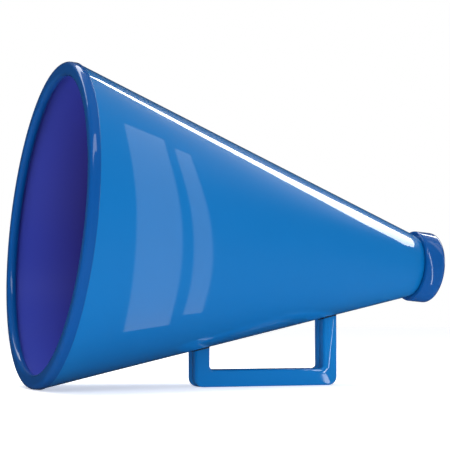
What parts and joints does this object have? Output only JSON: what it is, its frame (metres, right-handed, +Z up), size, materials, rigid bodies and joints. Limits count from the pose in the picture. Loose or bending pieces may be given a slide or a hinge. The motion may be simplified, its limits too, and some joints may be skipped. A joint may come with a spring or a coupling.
{
  "type": "cheer megaphone",
  "caption": "Hand-held voice cone for cheering, flared to a beaded bell, with a dished mouthpiece at the small end and a squared grip handle bolted underneath.",
  "frame": {"origin": "on the surface that the megaphone lies on, under the middle of its whole box", "axes": "+X from the bell to the mouthpiece, +Z up away from the handle's grip, +Y to the left when looking along +X; y 0 is the plane of symmetry, and the cone's axis dips towards the mouthpiece by 4.9 degrees because it rests on the rim and the grip"},
  "size_m": [0.4284, 0.3104, 0.3097],
  "materials": {
    "cone_plastic": "glossy moulded blue",
    "edge_plastic": "glossy darker blue",
    "handle_plastic": "glossy moulded blue",
    "gasket_rubber": "matt black",
    "plate_steel": "zinc plated",
    "screw_steel": "zinc plated"
  },
  "bodies": {
    "root": {"cone_shell": "cone_plastic", "bell_rim": "edge_plastic", "mouthpiece": "edge_plastic", "handle_left_shell": "handle_plastic", "handle_right_shell": "handle_plastic", "handle_screw_front": "screw_steel", "handle_screw_middle": "screw_steel", "handle_screw_rear": "screw_steel", "handle_screw_top": "screw_steel", "front_gasket": "gasket_rubber", "front_backing_plate": "plate_steel", "front_leg_screw": "screw_steel", "front_washer": "plate_steel", "front_nut": "plate_steel", "rear_gasket": "gasket_rubber", "rear_backing_plate": "plate_steel", "rear_leg_screw": "screw_steel", "rear_washer": "plate_steel", "rear_nut": "plate_steel"}
  },
  "joints": []
}
